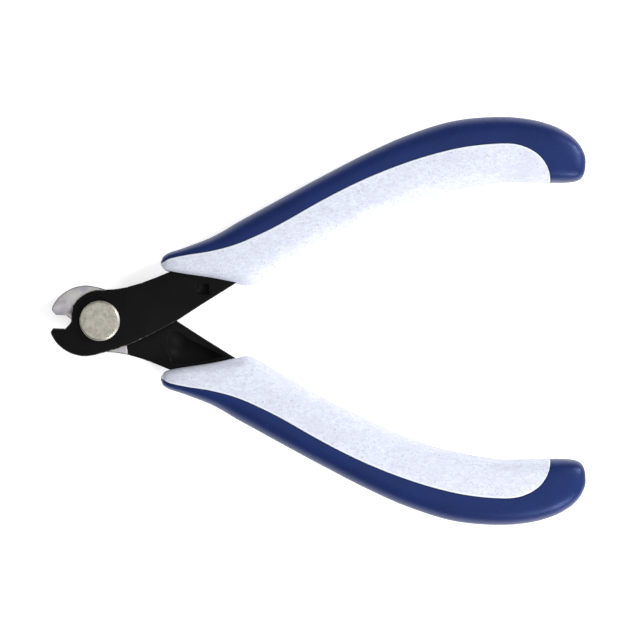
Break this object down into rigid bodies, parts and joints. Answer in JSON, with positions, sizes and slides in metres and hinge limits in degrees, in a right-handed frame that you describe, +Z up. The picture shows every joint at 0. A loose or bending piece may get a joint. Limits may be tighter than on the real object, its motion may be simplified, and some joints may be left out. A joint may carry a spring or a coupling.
{
  "type": "mosaic glass nippers",
  "caption": "Lap-jointed glass nippers with a small notched bypass mouth, a flat rivet pivot and curved two-tone moulded grips.",
  "frame": {"origin": "on the bench under the middle of the tool as it lies open; the pivot's axis is 57.1 mm towards the jaws and the lap plane is 6 mm up", "axes": "+X from the jaws to the handle ends, +Y to the handle of the front blade, +Z up, along the pivot's axis out of the rivet's head"},
  "size_m": [0.1402, 0.1072, 0.012],
  "materials": {
    "black_oxide_steel": "black oxide on tool steel, satin, worn bright along the edges",
    "ground_steel": "ground bright at the jaw and boss, black oxide on the tang",
    "rivet_steel": "turned and dulled, warm grey, bright bevel",
    "washer_steel": "plain rolled steel",
    "spring_steel": "drawn wire, oiled",
    "white_grip": "matt moulded, cool white with fine grey mottling",
    "blue_grip": "soft-touch moulded rubber, navy blue, satin"
  },
  "bodies": {
    "rear_half": {"rear_blade": "ground_steel", "pivot_rivet": "rivet_steel", "rivet_washer": "washer_steel", "return_spring": "spring_steel", "lower_grip_core": "white_grip", "lower_grip_sleeve": "blue_grip"},
    "front_half": {"front_blade": "black_oxide_steel", "upper_grip_core": "white_grip", "upper_grip_sleeve": "blue_grip"}
  },
  "joints": [
    {"name": "pivot", "type": "hinge", "parent": "rear_half", "child": "front_half", "pos_m": [-0.0571, 0, 0.006], "axis": [0, 0, 1], "range_deg": [-25, 0], "stiffness_Nm_per_rad": 0.35, "springref_deg": 11.46, "deforming": ["return_spring"]}
  ]
}
